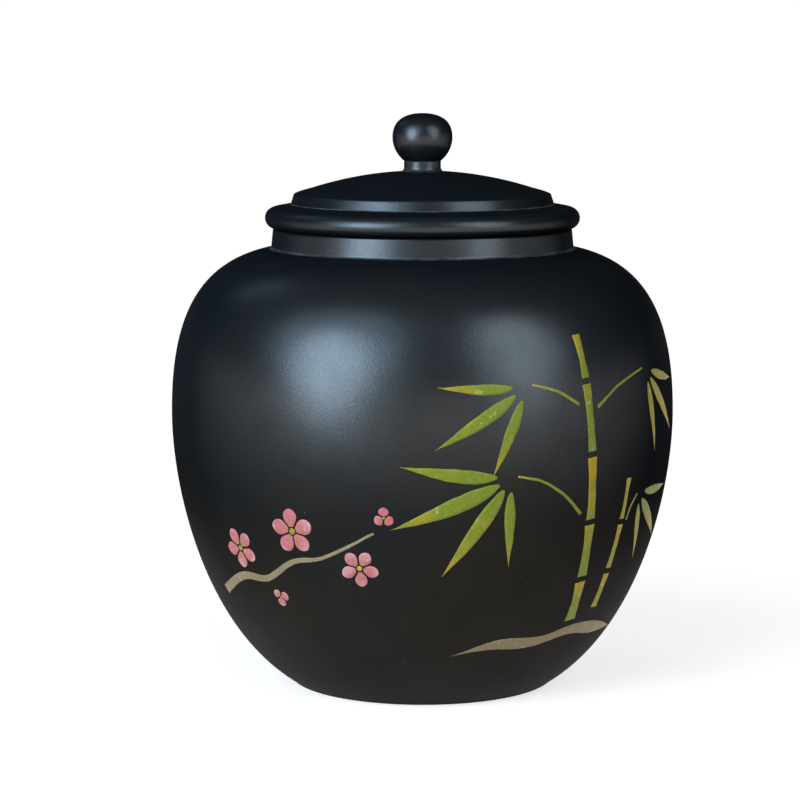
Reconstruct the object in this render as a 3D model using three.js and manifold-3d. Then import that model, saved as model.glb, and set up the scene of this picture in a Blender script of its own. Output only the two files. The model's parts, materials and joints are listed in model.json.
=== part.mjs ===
// A ceramic tea canister: a thrown jar inlaid with coloured clay, and a lid with a plug, a seal and a knob.
// Millimetres and degrees, +Z up. The origin is the middle of the foot's resting plane.
// The picture faces -Y.

import * as THREE from "three";
import { mergeVertices } from "three/addons/utils/BufferGeometryUtils.js";
import Module from "manifold-3d";

// Jar: two cubic curves meet upright at the widest point of the belly
const BELLY_RADIUS = 85;
const BELLY_HEIGHT = 91.9; // from the table to the widest point
const LOWER_FULLNESS = 26.4; // how far the wall stays upright below the widest point
const UPPER_FULLNESS = 32.7; // how far the wall stays upright above the widest point
const FOOT_RADIUS = 45.3;
const FOOT_ANGLE = 32.4; // slope of the wall where it leaves the foot
const FOOT_FULLNESS = 34.5; // how far the wall keeps that slope
const SHOULDER_RISE = 55.4; // from the widest point up to the neck
const SHOULDER_ANGLE = 10.6; // slope of the shoulder where it meets the neck
const SHOULDER_FULLNESS = 24.1; // how far the shoulder keeps that slope
const WALL = 4.5;
const FLOOR_THICKNESS = 6;
const FLOOR_CORNER = 4; // rounding between the floor and the wall
const FOOT_RING_WIDTH = 6;
const FOOT_RECESS = 2.5; // depth of the hollow inside the foot ring
const FOOT_EDGE = 0.8; // chamfer of the foot's outer edge

// Neck, from the shoulder up to the rim that carries the lid
const NECK_RADIUS = 50.5; // outside, at the rim
const NECK_HEIGHT = 6.9;
const NECK_FLARE = 0.5; // extra radius at the foot of the neck
const NECK_FILLET = 0.9; // hollow rounding between the shoulder and the neck
const NECK_WALL = 5.5;
const RIM_ROUND = 0.8;

// Lid, from its seat on the rim up to the crown
const BEAD_OVERHANG = 2.6; // how far the bead stands out past the neck
const BEAD_ROUND = 3.5; // radius of the bead's half-round section
const LEDGE_WIDTH = 5.2; // from the top of the bead in to the step
const LEDGE_RISE = 1.1;
const STEP_HEIGHT = 3.2;
const STEP_LEAN = 1.5; // how far the step leans in
const STEP_ROUND = 1.1; // rounding between the step and the dome
const DOME_RISE = 7.3;
const LID_THICKNESS = 5.5;
const CEILING_CORNER = 2; // rounding between the ceiling and the plug

// Plug under the lid, and the ring that seals it
const PLUG_DEPTH = 11;
const PLUG_CLEARANCE = 1; // between the plug and the neck, all round
const PLUG_WALL = 4;
const PLUG_LEAD = 0.8; // chamfer of the plug's lower edge
const GROOVE_DROP = 3.5; // from the seat down to the groove
const GROOVE_HEIGHT = 4;
const GROOVE_DEPTH = 1.4;
const SEAL_CLEARANCE = 0.1; // between the ring and its groove, and between its lips and the neck
const SEAL_LIPS = 2;

// Knob, with a peg in a socket in the crown
const KNOB_RADIUS = 10.1;
const KNOB_CROWN = 8; // from the knob's widest point to its top
const KNOB_UPRIGHT = 5; // how far the knob stays upright above its widest point
const KNOB_LEVEL = 6.8; // how far the top runs level from the middle
const COLLAR_RADIUS = 6.2;
const COLLAR_HEIGHT = 3.6;
const COLLAR_FLARE = 1.4; // hollow rounding at the collar's foot
const PEG_RADIUS = 4;
const PEG_LENGTH = 3;
const PEG_CLEARANCE = 0.3;

// Coloured clay, flush with the wall and set in pockets
const INLAY_DEPTH = 1.2;
const INLAY_GAP = 0.3; // between the clay and its pocket
const CUTTER_REACH = 4; // how far a cutter stands out past the wall

// Finish of each clay and of the seal
const BLACK = { color: 0x1c1f22, roughness: 0.45 };
const GREEN = { color: 0x7c902e, roughness: 0.5 };
const GOLD = { color: 0xb4971f, roughness: 0.5 };
const PINK = { color: 0xd09490, roughness: 0.5 };
const TAN = { color: 0x827455, roughness: 0.55 };
const SILICONE = { color: 0xb9b6ad, roughness: 0.6 };

// The picture is drawn on a flat sheet, in units to the right of the front and above the widest point.
// A leaf is its direction, its length, and how far its tip bends to the left of that direction.
const PICTURE_UNITS = 85; // units of the sheet in the belly's radius
const LEAF_SLENDERNESS = 6.1; // length over width
const LEAF_STALK = 0.9; // width at the leaf's foot
const LEAF_START = 5; // from the twig's tip to the leaf's foot
const LEAF_SWELL = { along: 0.2, aside: 0.75, bend: 0 }; // first handle, as shares of length, width and bend
const LEAF_TAPER = { along: 0.6, aside: 0.45, bend: 0.4 }; // second handle
const SPRAYS = [
  {
    name: "centre",
    clay: GREEN,
    at: [29, -10],
    leaves: [[-178, 31, -5], [-151, 37, -4], [-122, 34, -1], [-92, 25, 2]],
  },
  { name: "upper", clay: GREEN, at: [34, 18.6], leaves: [[-172, 24, -4], [-142, 31, -3], [-110, 26, -1]] },
  { name: "right", clay: GOLD, at: [89, 20.1], leaves: [[-20, 22, 3], [-50, 28, 3], [-80, 24, 1]] },
  { name: "low", clay: GREEN, at: [86, -20], leaves: [[-10, 22, 3], [-42, 27, 3], [-74, 21, 1]] },
];

// A culm is a row of straight lengths, each a little thinner than the one below it
const CULM_BREAK = 1.6; // dark line between two lengths
const CULM_TAPER = 0.35; // loss of width from one length to the next
const CULM_WAIST = 0.8; // width at the middle over width at the ends
const CULMS = [
  { name: "tall", clay: GREEN, foot: [63.8, -61.9], lean: 5, width: 5, lengths: [14, 18, 21, 22, 14] },
  { name: "short", clay: GOLD, foot: [76, -58.9], lean: -3, width: 3.6, lengths: [12, 15, 14] },
];

// A stroke is a smooth line with a width at each end
const STROKES = [
  {
    name: "branchlet_centre",
    clay: GREEN,
    widths: [1.6, 1],
    through: [[55.6, -24.4], [49, -18], [40, -12.4], [31, -10.2]],
  },
  { name: "branchlet_upper", clay: GREEN, widths: [1.5, 1], through: [[53.4, 11.2], [45, 16], [36, 18.4]] },
  { name: "branchlet_right", clay: GREEN, widths: [1.5, 1], through: [[61.2, 9.8], [72, 16], [86.5, 20]] },
  { name: "branchlet_low", clay: GREEN, widths: [1.4, 1], through: [[80.6, -29.4], [82, -25], [85, -21]] },
  {
    name: "plum_twig",
    clay: TAN,
    widths: [3.6, 1.1],
    through: [[-84.5, -54.9], [-71, -47.5], [-59, -46.6], [-47, -39.6], [-35, -37], [-18, -28]],
  },
];

// A blossom is a ring of round petals, and a bud has fewer
const PETAL_NOTCH = 0.48; // radius of the notches over the radius of the petals
const BLOSSOMS = [
  { name: "blossom_left", at: [-70.5, -37.6], radius: 6.8, petals: 5, turn: 10 },
  { name: "blossom_top", at: [-45, -29.2], radius: 7.6, petals: 5, turn: -14 },
  { name: "blossom_right", at: [-21.5, -40], radius: 6.2, petals: 5, turn: 22 },
  { name: "bud_tip", at: [-12.4, -22.8], radius: 3.4, petals: 3, turn: 30 },
  { name: "bud_low", at: [-55.6, -52.8], radius: 3.2, petals: 3, turn: 80 },
];

// The ground line, round its outline
const GROUND = [
  [25, -71], [37.5, -65.6], [53, -66], [67, -63.4], [81, -65],
  [95, -70], [79, -69.4], [65, -67.4], [49, -70], [35, -69.4],
];

// How finely round forms are cut into flat faces
const ROUND_FACES = 48; // round the jar, the lid and the seal
const KNOB_FACES = 24;
const BELLY_STEPS = 7; // along each of the belly's two curves
const INSIDE_STEPS = 5;
const LEAF_STEPS = 5;
const CULM_STEPS = 2;
const STROKE_STEPS = 2; // between two points of a stroke
const PETAL_STEPS = 5;
const GROUND_STEPS = 18;
const MERGE_DISTANCE = 1e-4;

// Heights and radii that follow from the sizes above
const NECK_FOOT_Z = BELLY_HEIGHT + SHOULDER_RISE;
const NECK_FOOT_RADIUS = NECK_RADIUS + NECK_FLARE;
const NECK_BORE = NECK_RADIUS - NECK_WALL;
const RIM_Z = NECK_FOOT_Z + NECK_HEIGHT;
const FLOOR_Z = FOOT_RECESS + FLOOR_THICKNESS;
const BEAD_CENTRE_RADIUS = NECK_RADIUS + BEAD_OVERHANG - BEAD_ROUND;
const STEP_FOOT_RADIUS = BEAD_CENTRE_RADIUS - LEDGE_WIDTH;
const STEP_FOOT_Z = RIM_Z + 2 * BEAD_ROUND + LEDGE_RISE;
const STEP_TOP_RADIUS = STEP_FOOT_RADIUS - STEP_LEAN;
const STEP_TOP_Z = STEP_FOOT_Z + STEP_HEIGHT;
const DOME_EDGE_RADIUS = STEP_TOP_RADIUS - STEP_ROUND;
const DOME_EDGE_Z = STEP_TOP_Z + STEP_ROUND / 2;
const DOME_RADIUS = (DOME_EDGE_RADIUS ** 2 + DOME_RISE ** 2) / (2 * DOME_RISE);
const DOME_CENTRE_Z = DOME_EDGE_Z + DOME_RISE - DOME_RADIUS;
const CEILING_RADIUS = DOME_RADIUS - LID_THICKNESS;
const PLUG_RADIUS = NECK_BORE - PLUG_CLEARANCE;
const PLUG_BORE = PLUG_RADIUS - PLUG_WALL;
const PLUG_FOOT_Z = RIM_Z - PLUG_DEPTH;
const GROOVE_RADIUS = PLUG_RADIUS - GROOVE_DEPTH;
const GROOVE_TOP_Z = RIM_Z - GROOVE_DROP;
const GROOVE_FOOT_Z = GROOVE_TOP_Z - GROOVE_HEIGHT;
const COLLAR_FOOT_RADIUS = COLLAR_RADIUS + COLLAR_FLARE;
const KNOB_SEAT_Z = DOME_CENTRE_Z + Math.sqrt(DOME_RADIUS ** 2 - COLLAR_FOOT_RADIUS ** 2);
const PICTURE_UNIT = BELLY_RADIUS / PICTURE_UNITS;

const { degToRad, radToDeg, lerp } = THREE.MathUtils;
const wasm = await Module();
wasm.setup();

function point(x, y) {
  return new THREE.Vector2(x, y);
}

function arc(x, y, radius, from, to, steps) {
  const curve = new THREE.EllipseCurve(x, y, radius, radius, degToRad(from), degToRad(to), to < from);
  return curve.getPoints(steps);
}

// The slope of a circle about the Z axis where it reaches out to a distance
function slopeAt(distance, radius) {
  return radToDeg(Math.acos(distance / radius));
}

// Turns a profile of radius and height about the Z axis
function lathe(profile, faces) {
  return new THREE.LatheGeometry(profile, faces).rotateX(Math.PI / 2);
}

function solid(geometry) {
  geometry.deleteAttribute("normal");
  geometry.deleteAttribute("uv");
  const merged = mergeVertices(geometry, MERGE_DISTANCE);
  const corners = merged.index.array;
  const triangles = [];
  for (let i = 0; i < corners.length; i += 3) {
    const [a, b, c] = corners.slice(i, i + 3);
    if (a !== b && b !== c && c !== a) {
      triangles.push(a, b, c);
    }
  }
  return new wasm.Manifold(new wasm.Mesh({
    numProp: 3,
    vertProperties: new Float32Array(merged.attributes.position.array),
    triVerts: new Uint32Array(triangles),
  }));
}

function geometryOf(body) {
  const { vertProperties, triVerts } = body.getMesh();
  const geometry = new THREE.BufferGeometry();
  geometry.setAttribute("position", new THREE.BufferAttribute(vertProperties, 3));
  geometry.setIndex(new THREE.BufferAttribute(triVerts, 1));
  geometry.computeVertexNormals();
  return geometry;
}

// The belly's two curves, from the foot up to the neck
function bellyCurves() {
  const foot = degToRad(FOOT_ANGLE);
  const shoulder = degToRad(SHOULDER_ANGLE);
  const end = point(NECK_FOOT_RADIUS + NECK_FILLET, NECK_FOOT_Z);
  const lower = new THREE.CubicBezierCurve(
    point(FOOT_RADIUS, FOOT_EDGE),
    point(FOOT_RADIUS + FOOT_FULLNESS * Math.cos(foot), FOOT_EDGE + FOOT_FULLNESS * Math.sin(foot)),
    point(BELLY_RADIUS, BELLY_HEIGHT - LOWER_FULLNESS),
    point(BELLY_RADIUS, BELLY_HEIGHT),
  );
  const upper = new THREE.CubicBezierCurve(
    point(BELLY_RADIUS, BELLY_HEIGHT),
    point(BELLY_RADIUS, BELLY_HEIGHT + UPPER_FULLNESS),
    point(end.x + SHOULDER_FULLNESS * Math.cos(shoulder), end.y - SHOULDER_FULLNESS * Math.sin(shoulder)),
    end,
  );
  return [lower, upper];
}

// The belly's outline moved along its own normals, outward where the distance is positive
function bellyOutline(distance, steps) {
  const outline = [];
  for (const curve of bellyCurves()) {
    for (let i = outline.length ? 1 : 0; i <= steps; i += 1) {
      const along = curve.getTangent(i / steps);
      const spot = curve.getPoint(i / steps);
      outline.push(point(spot.x + along.y * distance, spot.y - along.x * distance));
    }
  }
  return outline;
}

function jarProfile() {
  const lowest = FLOOR_Z + FLOOR_CORNER / 2;
  const inside = bellyOutline(-WALL, INSIDE_STEPS).filter((p) => p.y > lowest && p.x > NECK_BORE + RIM_ROUND);
  const shoulderZ = inside[inside.length - 1].y;
  return [
    point(0, FOOT_RECESS),
    point(FOOT_RADIUS - FOOT_RING_WIDTH - FOOT_RECESS, FOOT_RECESS),
    point(FOOT_RADIUS - FOOT_RING_WIDTH, 0),
    point(FOOT_RADIUS - FOOT_EDGE, 0),
    ...bellyOutline(0, BELLY_STEPS),
    ...arc(NECK_FOOT_RADIUS + NECK_FILLET, NECK_FOOT_Z + NECK_FILLET, NECK_FILLET, 270, 180, 2).slice(1),
    ...arc(NECK_RADIUS - RIM_ROUND, RIM_Z - RIM_ROUND, RIM_ROUND, 0, 90, 2),
    ...arc(NECK_BORE + RIM_ROUND, RIM_Z - RIM_ROUND, RIM_ROUND, 90, 180, 2),
    ...arc(NECK_BORE + RIM_ROUND, shoulderZ + RIM_ROUND, RIM_ROUND, 180, 270, 2),
    ...inside.reverse(),
    point(FOOT_RADIUS - FLOOR_CORNER, FLOOR_Z),
    point(0, FLOOR_Z),
  ];
}

function lidProfile() {
  const socketRadius = PEG_RADIUS + PEG_CLEARANCE;
  const socketZ = KNOB_SEAT_Z - PEG_LENGTH - PEG_CLEARANCE;
  const ceilingEdge = PLUG_BORE - CEILING_CORNER;
  const ceiling = arc(0, DOME_CENTRE_Z, CEILING_RADIUS, 90, slopeAt(ceilingEdge, CEILING_RADIUS), 4);
  const domeSlopes = [slopeAt(DOME_EDGE_RADIUS, DOME_RADIUS), slopeAt(COLLAR_FOOT_RADIUS, DOME_RADIUS)];
  const stepRound = new THREE.QuadraticBezierCurve(
    point(STEP_TOP_RADIUS, STEP_TOP_Z),
    point(STEP_TOP_RADIUS - STEP_ROUND / 4, DOME_EDGE_Z),
    point(DOME_EDGE_RADIUS, DOME_EDGE_Z),
  );
  return [
    ...ceiling,
    point(PLUG_BORE, ceiling[ceiling.length - 1].y - CEILING_CORNER),
    point(PLUG_BORE, PLUG_FOOT_Z),
    point(PLUG_RADIUS - PLUG_LEAD, PLUG_FOOT_Z),
    point(PLUG_RADIUS, PLUG_FOOT_Z + PLUG_LEAD),
    point(PLUG_RADIUS, GROOVE_FOOT_Z),
    point(GROOVE_RADIUS, GROOVE_FOOT_Z),
    point(GROOVE_RADIUS, GROOVE_TOP_Z),
    point(PLUG_RADIUS, GROOVE_TOP_Z),
    point(PLUG_RADIUS, RIM_Z),
    ...arc(BEAD_CENTRE_RADIUS, RIM_Z + BEAD_ROUND, BEAD_ROUND, 270, 450, 8),
    point(STEP_FOOT_RADIUS, STEP_FOOT_Z),
    ...stepRound.getPoints(3),
    ...arc(0, DOME_CENTRE_Z, DOME_RADIUS, ...domeSlopes, 4).slice(1),
    point(socketRadius, KNOB_SEAT_Z),
    point(socketRadius, socketZ),
    point(0, socketZ),
  ];
}

function knobProfile() {
  const ballDrop = Math.sqrt(KNOB_RADIUS ** 2 - COLLAR_RADIUS ** 2);
  const centreZ = KNOB_SEAT_Z + COLLAR_HEIGHT + ballDrop;
  const crown = new THREE.CubicBezierCurve(
    point(KNOB_RADIUS, centreZ),
    point(KNOB_RADIUS, centreZ + KNOB_UPRIGHT),
    point(KNOB_LEVEL, centreZ + KNOB_CROWN),
    point(0, centreZ + KNOB_CROWN),
  );
  return [
    point(0, KNOB_SEAT_Z - PEG_LENGTH),
    point(PEG_RADIUS, KNOB_SEAT_Z - PEG_LENGTH),
    point(PEG_RADIUS, KNOB_SEAT_Z),
    ...arc(COLLAR_FOOT_RADIUS, KNOB_SEAT_Z + COLLAR_FLARE, COLLAR_FLARE, 270, 180, 3),
    ...arc(0, centreZ, KNOB_RADIUS, -slopeAt(COLLAR_RADIUS, KNOB_RADIUS), 0, 5),
    ...crown.getPoints(6).slice(1),
  ];
}

// A ring that fills the groove, with lips that reach for the neck
function sealProfile() {
  const inner = GROOVE_RADIUS + SEAL_CLEARANCE;
  const lip = NECK_BORE * Math.cos(Math.PI / ROUND_FACES) - SEAL_CLEARANCE;
  const low = GROOVE_FOOT_Z + SEAL_CLEARANCE;
  const high = GROOVE_TOP_Z - SEAL_CLEARANCE;
  const pitch = (high - low) / SEAL_LIPS;
  const profile = [point(inner, low), point(PLUG_RADIUS, low)];
  for (let i = 0; i < SEAL_LIPS; i += 1) {
    profile.push(point(lip, low + (i + 0.5) * pitch), point(PLUG_RADIUS, low + (i + 1) * pitch));
  }
  profile.push(point(inner, high), point(inner, low));
  return profile;
}

function sheetPoint([x, y]) {
  return point(x, y).multiplyScalar(PICTURE_UNIT);
}

// Turns an outline about the sheet's own middle and then moves it
function placed(outline, spot, turn) {
  return outline.map((p) => p.clone().rotateAround(point(0, 0), degToRad(turn)).add(spot));
}

function leafOutline(length, bend) {
  const width = length / LEAF_SLENDERNESS;
  const handle = (side, { along, aside, bend: share }) =>
    point(LEAF_START + along * length, side * aside * width + share * bend);
  const edge = (side) => new THREE.CubicBezierCurve(
    point(LEAF_START, (side * LEAF_STALK) / 2),
    handle(side, LEAF_SWELL),
    handle(side, LEAF_TAPER),
    point(LEAF_START + length, bend),
  ).getPoints(LEAF_STEPS);
  return [...edge(-1), ...edge(1).reverse().slice(1)];
}

function culmOutline(length, width) {
  const edge = new THREE.QuadraticBezierCurve(
    point(0, -width / 2),
    point(length / 2, (0.5 - CULM_WAIST) * width),
    point(length, -width / 2),
  ).getPoints(CULM_STEPS);
  return [...edge, ...edge.map((p) => point(p.x, -p.y)).reverse()];
}

function strokeOutline(through, [start, end]) {
  const curve = new THREE.SplineCurve(through.map(sheetPoint));
  const steps = STROKE_STEPS * (through.length - 1);
  const left = [];
  const right = [];
  for (let i = 0; i <= steps; i += 1) {
    const spot = curve.getPoint(i / steps);
    const along = curve.getTangent(i / steps);
    const half = (lerp(start, end, i / steps) * PICTURE_UNIT) / 2;
    left.push(point(spot.x - along.y * half, spot.y + along.x * half));
    right.push(point(spot.x + along.y * half, spot.y - along.x * half));
  }
  return [...right, ...left.reverse()];
}

function blossomOutline(radius, petals) {
  const outline = [];
  for (let i = 0; i < petals * PETAL_STEPS; i += 1) {
    const angle = (2 * Math.PI * i) / (petals * PETAL_STEPS);
    const swell = Math.sqrt(Math.abs(Math.sin((petals * angle) / 2)));
    const reach = radius * lerp(PETAL_NOTCH, 1, swell);
    outline.push(point(reach * Math.cos(angle), reach * Math.sin(angle)));
  }
  return outline;
}

function groundOutline() {
  const curve = new THREE.SplineCurve([...GROUND, GROUND[0]].map(sheetPoint));
  return curve.getPoints(GROUND_STEPS).slice(1).reverse();
}

// Every piece of the picture, in the order in which it is laid
function picture() {
  const pieces = [];
  for (const { name, at, radius, petals, turn } of BLOSSOMS) {
    const outline = placed(blossomOutline(radius * PICTURE_UNIT, petals), sheetPoint(at), turn);
    pieces.push({ name, clay: PINK, outline });
  }
  for (const { name, clay, at, leaves } of SPRAYS) {
    leaves.forEach(([turn, length, bend], i) => {
      const leaf = leafOutline(length * PICTURE_UNIT, bend * PICTURE_UNIT);
      const outline = placed(leaf, sheetPoint(at), turn);
      pieces.push({ name: `leaf_${name}_${i + 1}`, clay, outline });
    });
  }
  for (const { name, clay, foot, lean, width, lengths } of CULMS) {
    let start = 0;
    lengths.forEach((units, i) => {
      const length = units * PICTURE_UNIT;
      const lying = placed(culmOutline(length, width * PICTURE_UNIT - i * CULM_TAPER), point(start, 0), 0);
      const outline = placed(lying, sheetPoint(foot), 90 + lean);
      pieces.push({ name: `culm_${name}_${i + 1}`, clay, outline });
      start += length + CULM_BREAK;
    });
  }
  for (const { name, clay, widths, through } of STROKES) {
    pieces.push({ name, clay, outline: strokeOutline(through, widths) });
  }
  pieces.push({ name: "ground_line", clay: TAN, outline: groundOutline() });
  return pieces;
}

// Moves every side of an outline outward by one distance
function grown(outline, distance) {
  return outline.map((p, i) => {
    const before = outline[(i + outline.length - 1) % outline.length];
    const after = outline[(i + 1) % outline.length];
    const one = p.clone().sub(before).normalize();
    const two = after.clone().sub(p).normalize();
    const out = point(one.y + two.y, -one.x - two.x);
    return p.clone().addScaledVector(out, distance / Math.max(1 + one.dot(two), 0.5));
  });
}

// A cutter from inside the jar out past its wall, square to the wall at the middle of the outline
function cutter(outline, middle) {
  const around = middle.x / BELLY_RADIUS;
  const start = FOOT_RADIUS / 2;
  const shape = new THREE.Shape(outline.map((p) => p.clone().sub(middle)));
  const depth = BELLY_RADIUS + CUTTER_REACH - start;
  const geometry = new THREE.ExtrudeGeometry(shape, { depth, steps: 1, bevelEnabled: false });
  const across = new THREE.Vector3(Math.cos(around), Math.sin(around), 0);
  const up = new THREE.Vector3(0, 0, 1);
  const out = new THREE.Vector3(Math.sin(around), -Math.cos(around), 0);
  const place = new THREE.Matrix4().makeBasis(across, up, out);
  place.setPosition(out.x * start, out.y * start, BELLY_HEIGHT + middle.y);
  return solid(geometry.applyMatrix4(place));
}

// The layer of the wall between two distances from its surface
function layer(outer, inner) {
  const outside = bellyOutline(outer, BELLY_STEPS);
  const inside = bellyOutline(inner, BELLY_STEPS).reverse();
  return solid(lathe([...outside, ...inside, outside[0]], ROUND_FACES));
}

function mesh(name, geometry, finish) {
  const part = new THREE.Mesh(geometry, new THREE.MeshStandardMaterial({ ...finish, metalness: 0 }));
  part.name = name;
  return part;
}

const canister = new THREE.Group();
const clayLayer = layer(0, -INLAY_DEPTH);
const pocketLayer = layer(CUTTER_REACH / 2, -INLAY_DEPTH - INLAY_GAP);
let jar = solid(lathe(jarProfile(), ROUND_FACES));

// Each piece of clay stops short of the pockets cut before it, so no two pieces meet
const pockets = [];
for (const { name, clay, outline } of picture()) {
  const middle = new THREE.Box2().setFromPoints(outline).getCenter(point(0, 0));
  let piece = clayLayer.intersect(cutter(outline, middle));
  for (const pocket of pockets) {
    piece = piece.subtract(pocket);
  }
  pockets.push(pocketLayer.intersect(cutter(grown(outline, INLAY_GAP), middle)));
  canister.add(mesh(name, geometryOf(piece), clay));
}
for (const pocket of pockets) {
  jar = jar.subtract(pocket);
}

canister.add(mesh("jar_body", geometryOf(jar), BLACK));
canister.add(mesh("lid", lathe(lidProfile(), ROUND_FACES), BLACK));
canister.add(mesh("lid_knob", lathe(knobProfile(), KNOB_FACES), BLACK));
canister.add(mesh("seal_ring", lathe(sealProfile(), ROUND_FACES), SILICONE));

export default canister;
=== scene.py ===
"""Looks of the ceramic tea canister: burnished black clay with a picture inlaid in coloured clay."""

import json
import math
import random

import bmesh
import bpy
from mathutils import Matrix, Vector, noise


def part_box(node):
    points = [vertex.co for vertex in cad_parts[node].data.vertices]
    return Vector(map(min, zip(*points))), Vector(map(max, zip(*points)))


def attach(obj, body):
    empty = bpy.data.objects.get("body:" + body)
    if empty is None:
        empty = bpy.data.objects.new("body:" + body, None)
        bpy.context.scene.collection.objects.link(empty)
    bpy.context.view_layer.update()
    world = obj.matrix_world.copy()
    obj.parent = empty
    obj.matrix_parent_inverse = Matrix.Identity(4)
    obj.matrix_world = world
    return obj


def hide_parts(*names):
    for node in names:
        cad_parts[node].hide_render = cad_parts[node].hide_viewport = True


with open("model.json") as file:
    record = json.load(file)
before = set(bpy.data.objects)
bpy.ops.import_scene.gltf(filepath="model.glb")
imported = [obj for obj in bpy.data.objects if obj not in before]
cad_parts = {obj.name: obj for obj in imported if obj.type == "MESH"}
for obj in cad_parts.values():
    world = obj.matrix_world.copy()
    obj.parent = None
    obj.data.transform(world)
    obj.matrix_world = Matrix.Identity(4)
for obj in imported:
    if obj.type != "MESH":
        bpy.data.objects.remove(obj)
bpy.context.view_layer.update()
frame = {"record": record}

record = frame["record"]
BODY_OF = {node: body for body, nodes in record["behaviour"]["bodies"].items() for node in nodes}
SLOT_OF = {part["node"]: part["material_slot"] for part in record["subparts"]}

MM = 0.001
CHANCE_SEED = 7  # for the strays of the cut edges and the tone of each fill of coloured clay

# Sizes taken from the frame, in millimetres
jar_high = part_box("jar_body")[1] / MM
lid_low, lid_high = (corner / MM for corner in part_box("lid"))
seal_low, seal_high = (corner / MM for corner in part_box("seal_ring"))
knob_low, knob_high = (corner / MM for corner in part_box("lid_knob"))
BELLY_RADIUS = jar_high.x
RIM_Z = jar_high.z
BEAD_RADIUS = lid_high.x
KNOB_SEAT_Z = lid_high.z
PLUG_FOOT_Z = lid_low.z
KNOB_RADIUS = knob_high.x
KNOB_TOP_Z = knob_high.z
PEG_FOOT_Z = knob_low.z
SEAL_RADIUS = seal_high.x
SEAL_FOOT_Z = seal_low.z
SEAL_TOP_Z = seal_high.z

# Jar, in millimetres and degrees, as in the solid part
BELLY_HEIGHT = 91.9
LOWER_FULLNESS = 26.4
UPPER_FULLNESS = 32.7
FOOT_RADIUS = 45.3
FOOT_ANGLE = 32.4
FOOT_FULLNESS = 34.5
SHOULDER_ANGLE = 10.6
SHOULDER_FULLNESS = 24.1
WALL = 4.5
FLOOR_Z = 8.5
FLOOR_CORNER = 4
FOOT_RING_WIDTH = 6
FOOT_RECESS = 2.5
FOOT_EDGE = 0.8
NECK_RADIUS = 50.5
NECK_FLARE = 0.5
NECK_FILLET = 0.9
NECK_HEIGHT = 6.9
NECK_BORE = 45
RIM_ROUND = 0.8
NECK_FOOT_Z = RIM_Z - NECK_HEIGHT
NECK_FOOT_RADIUS = NECK_RADIUS + NECK_FLARE
THROWING_PITCH = 5.2  # between the rings left by the thrower's fingers inside
THROWING_DEPTH = 0.22

# Lid
BEAD_ROUND = 3.5
LEDGE_WIDTH = 5.2
LEDGE_RISE = 1.1
STEP_HEIGHT = 3.2
STEP_LEAN = 1.5
STEP_ROUND = 1.1
STEP_FACE_LEAN = 1.2  # of the step's face, up to the corner that is rounded off
STEP_HELD = 0.75  # share of the face that is held straight
STEP_ROUND_START = 0.85  # share of the face below its rounding
DOME_INSET = 4  # from the dome's edge in to where the rounding ends
DOME_RISE = 7.3
LID_THICKNESS = 5.5
CEILING_CORNER = 2
PLUG_RADIUS = 44
PLUG_BORE = 40
PLUG_LEAD = 0.8
GROOVE_RADIUS = 42.6
GROOVE_TOP_DROP = 3.5  # below the rim
GROOVE_FOOT_DROP = 7.5
GROOVE_TOP_Z = RIM_Z - GROOVE_TOP_DROP
GROOVE_FOOT_Z = RIM_Z - GROOVE_FOOT_DROP
BEAD_CENTRE_RADIUS = BEAD_RADIUS - BEAD_ROUND
BEAD_TOP_Z = RIM_Z + 2 * BEAD_ROUND
STEP_FOOT = Vector((BEAD_CENTRE_RADIUS - LEDGE_WIDTH, BEAD_TOP_Z + LEDGE_RISE))
STEP_TOP = STEP_FOOT + Vector((-STEP_LEAN, STEP_HEIGHT))
STEP_CORNER = STEP_FOOT + Vector((-STEP_FACE_LEAN, STEP_HEIGHT + STEP_ROUND / 2))
DOME_EDGE = STEP_TOP + Vector((-STEP_ROUND, STEP_ROUND / 2))
DOME_RADIUS = (DOME_EDGE.x**2 + DOME_RISE**2) / (2 * DOME_RISE)
DOME_CENTRE_Z = DOME_EDGE.y + DOME_RISE - DOME_RADIUS
CEILING_RADIUS = DOME_RADIUS - LID_THICKNESS

# Knob and seal
KNOB_CROWN = 8
KNOB_UPRIGHT = 5
KNOB_LEVEL = 6.8
COLLAR_RADIUS = 6.2
COLLAR_FLARE = 1.4
CREASE_HELD = 0.25  # how far the collar is held straight below the ball
CREASE_ANGLE = 2  # degrees of the ball that are cut finely above the collar
CREASE_STEPS = 2
PEG_RADIUS = 4
PEG_CLEARANCE = 0.3
SOCKET_Z = PEG_FOOT_Z - PEG_CLEARANCE
KNOB_CENTRE_Z = KNOB_TOP_Z - KNOB_CROWN
COLLAR_FOOT_RADIUS = COLLAR_RADIUS + COLLAR_FLARE
SEAL_LIPS = 2
LIP_ROUND = 0.35

# How far corners are cut back to a small curve, and held straight beside it as a multiple of that
FOOT_SOFTNESS = 0.4
PLUG_SOFTNESS = 0.35
LEDGE_SOFTNESS = 0.3
PEG_SOFTNESS = 0.2
SEAL_SOFTNESS = 0.3
HELD_BESIDE = 1.4

# The coloured clay stands a hair proud of the wall, the blossoms most and the ground least
INLAY_SUNK = 0.3
INLAY_DEPTH = 0.7
INLAY_BEVEL = 0.22
BEVEL_LIMIT = 0.3  # as a share of a narrow strip's width
DOT_TOP = 0.85  # share of a dot's radius inside its bevel
BLOSSOM_PROUD = 0.07
LEAF_PROUD = 0.06
CULM_PROUD = 0.05
STROKE_PROUD = 0.04
GROUND_PROUD = 0.03
ANTHER_PROUD = 0.04
CUT_WOBBLE = 0.16  # how far a hand-cut edge strays
CUT_SCALE = 0.3  # strays per millimetre

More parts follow.
